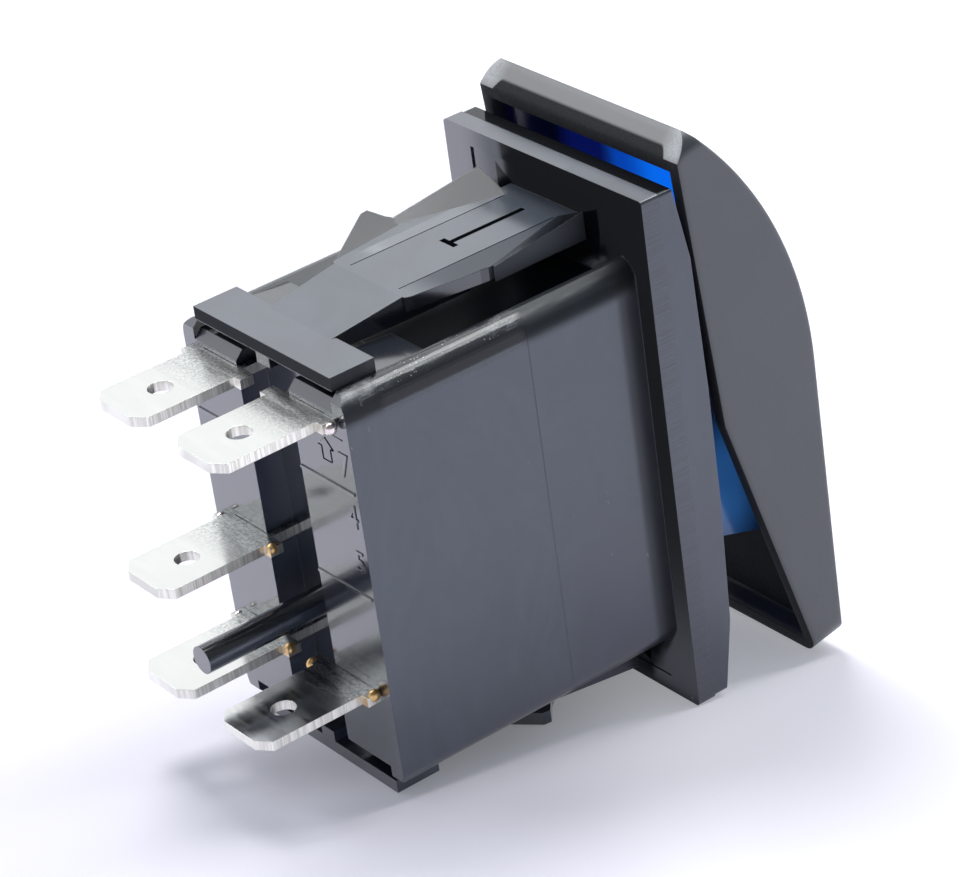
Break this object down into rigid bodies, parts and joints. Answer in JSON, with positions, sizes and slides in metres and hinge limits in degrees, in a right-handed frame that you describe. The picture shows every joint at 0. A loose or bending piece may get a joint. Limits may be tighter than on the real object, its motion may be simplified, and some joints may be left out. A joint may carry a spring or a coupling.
{
  "type": "illuminated toggle switch",
  "caption": "Panel-mount illuminated rocker switch: paddle-shaped cap over a blue light-guide core, snap-in bezel body and flat blade terminals at the rear.",
  "frame": {"origin": "centre of the flange's rear face, in the plane that lies against the panel", "axes": "+X across the switch, to its right seen from the front; +Y back through the panel to the terminals; +Z along the switch, up"},
  "size_m": [0.0242, 0.0533, 0.0497],
  "materials": {
    "bezel_plastic": "satin",
    "base_plastic": "gloss",
    "cap_plastic": "fine grain",
    "blue_acrylic": "translucent",
    "blue_lens": "translucent",
    "plunger_plastic": "smooth",
    "spring_steel": "drawn",
    "copper_alloy": "rolled",
    "contact_silver": "satin",
    "tinned_brass": "bright tin over brass",
    "led_epoxy": "clear",
    "lead_wire": "tinned",
    "resistor_body": "lacquered"
  },
  "bodies": {
    "housing": {"bezel_frame": "bezel_plastic", "base_housing": "base_plastic", "terminal_2": "tinned_brass", "terminal_3": "tinned_brass", "terminal_6": "tinned_brass", "terminal_7": "tinned_brass", "terminal_8": "tinned_brass", "fixed_contact": "contact_silver", "led_upper": "led_epoxy", "led_lower": "led_epoxy", "led_legs_upper": "lead_wire", "led_legs_lower": "lead_wire", "resistor_upper": "resistor_body", "resistor_lower": "resistor_body"},
    "rocker": {"rocker_cap": "cap_plastic", "rocker_core": "blue_acrylic", "lens_upper": "blue_lens", "lens_lower": "blue_lens", "plunger_spring": "spring_steel"},
    "plunger": {"plunger": "plunger_plastic"},
    "contact": {"contact_blade": "copper_alloy", "moving_contact": "contact_silver"}
  },
  "joints": [
    {"name": "rocker_pivot", "type": "hinge", "parent": "housing", "child": "rocker", "pos_m": [0, -0.002, 0], "axis": [1, 0, 0], "range_deg": [0, 20.6]},
    {"name": "plunger_slide", "type": "slide", "parent": "rocker", "child": "plunger", "axis": [0, -0.9839, 0.1788], "range_m": [0, 0.0004], "stiffness_N_per_m": 250, "springref_m": -0.0005, "deforming": ["plunger_spring"]},
    {"name": "blade_tilt", "type": "hinge", "parent": "housing", "child": "contact", "pos_m": [0.0052, 0.01395, 0], "axis": [1, 0, 0], "range_deg": [-10, 0]}
  ],
  "couplings": [
    {"joint": "blade_tilt", "follows": "rocker_pivot", "ratio": -0.485}
  ]
}
